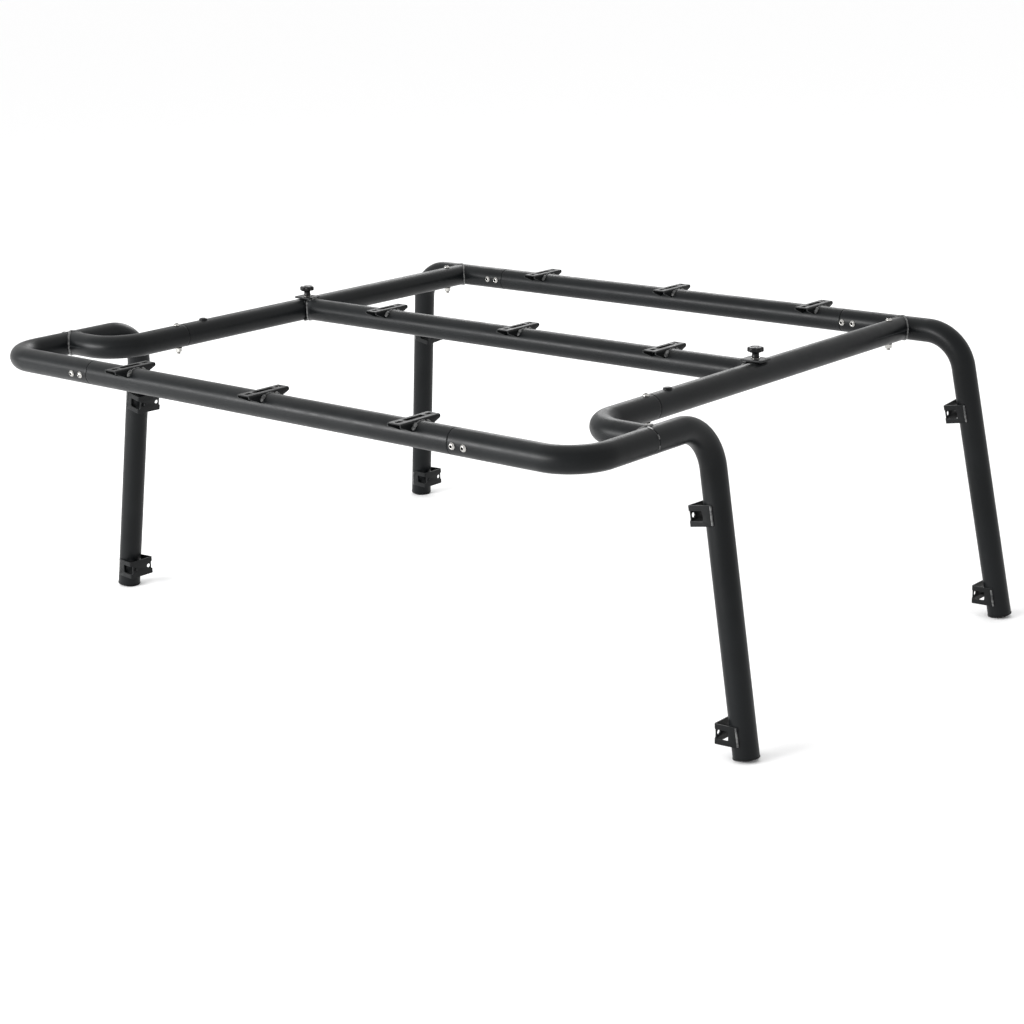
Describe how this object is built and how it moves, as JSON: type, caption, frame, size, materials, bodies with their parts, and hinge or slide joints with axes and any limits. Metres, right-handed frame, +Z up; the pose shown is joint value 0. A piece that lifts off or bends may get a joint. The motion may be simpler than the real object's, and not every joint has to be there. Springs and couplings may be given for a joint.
{
  "type": "ladder rack",
  "caption": "Over-bed truck ladder rack: tubular front and rear hoops joined by side rails, sliding centre crossbar with clamp knobs, slotted tie-down cleats and bolt-on leg brackets.",
  "frame": {"origin": "on the floor under the middle of the rack's bounding box", "axes": "+Z up, +Y from the front hoop towards the rear hoop, +X across the vehicle along the crossbars, towards the right-hand legs"},
  "size_m": [1.8306, 1.4356, 0.6824],
  "materials": {
    "black_coat": "fine-texture satin black powder coat over steel tube and plate",
    "bright_fastener": "bright zinc-plated or stainless fasteners",
    "plated_sleeve": "plain plated steel inner sleeves",
    "knob_plastic": "moulded black plastic, slightly glossy",
    "cap_plastic": "matt black plastic end cap"
  },
  "bodies": {
    "frame": {"front_crossbar": "black_coat", "front_corner_left": "black_coat", "front_corner_right": "black_coat", "front_leg_left": "black_coat", "front_leg_right": "black_coat", "rail_connector_left": "black_coat", "rail_connector_right": "black_coat", "side_rail_left": "black_coat", "side_rail_right": "black_coat", "rear_crossbar": "black_coat", "rear_leg_left": "black_coat", "rear_leg_right": "black_coat", "crossbar_sleeves": "plated_sleeve", "corner_sleeves": "plated_sleeve", "rail_sleeves": "plated_sleeve", "rail_end_spigots": "plated_sleeve", "crossbar_bolts_front": "bright_fastener", "crossbar_bolts_rear": "bright_fastener", "rail_bolts": "bright_fastener", "rail_nuts": "bright_fastener", "rail_stop_buttons": "knob_plastic", "cleat_front_left": "black_coat", "cleat_front_middle": "black_coat", "cleat_front_right": "black_coat", "cleat_rear_left": "black_coat", "cleat_rear_middle": "black_coat", "cleat_rear_right": "black_coat", "bracket_front_left_upper": "black_coat", "bracket_front_left_lower": "black_coat", "bracket_front_right_upper": "black_coat", "bracket_front_right_lower": "black_coat", "bracket_rear_left_upper": "black_coat", "bracket_rear_left_lower": "black_coat", "bracket_rear_right_upper": "black_coat", "bracket_rear_right_lower": "black_coat", "leg_cap_front_left": "cap_plastic", "leg_cap_front_right": "cap_plastic", "leg_cap_rear_left": "cap_plastic", "leg_cap_rear_right": "cap_plastic"},
    "centre_bar": {"centre_crossbar": "black_coat", "rail_saddles": "black_coat", "clamp_plates": "black_coat", "knob_washers": "bright_fastener", "cleat_centre_left": "black_coat", "cleat_centre_middle": "black_coat", "cleat_centre_right": "black_coat"},
    "knob_left_body": {"knob_left": "knob_plastic", "knob_stud_left": "bright_fastener"},
    "knob_right_body": {"knob_right": "knob_plastic", "knob_stud_right": "bright_fastener"}
  },
  "joints": [
    {"name": "centre_slide", "type": "slide", "parent": "frame", "child": "centre_bar", "axis": [0, 1, 0], "range_m": [-0.26, 0.425]},
    {"name": "knob_left_turn", "type": "hinge", "parent": "centre_bar", "child": "knob_left_body", "pos_m": [-0.637, 0.08391, 0.6744], "axis": [0, 0, 1], "range_deg": [0, 900]},
    {"name": "knob_right_turn", "type": "hinge", "parent": "centre_bar", "child": "knob_right_body", "pos_m": [0.637, 0.08391, 0.6744], "axis": [0, 0, 1], "range_deg": [0, 900]}
  ]
}
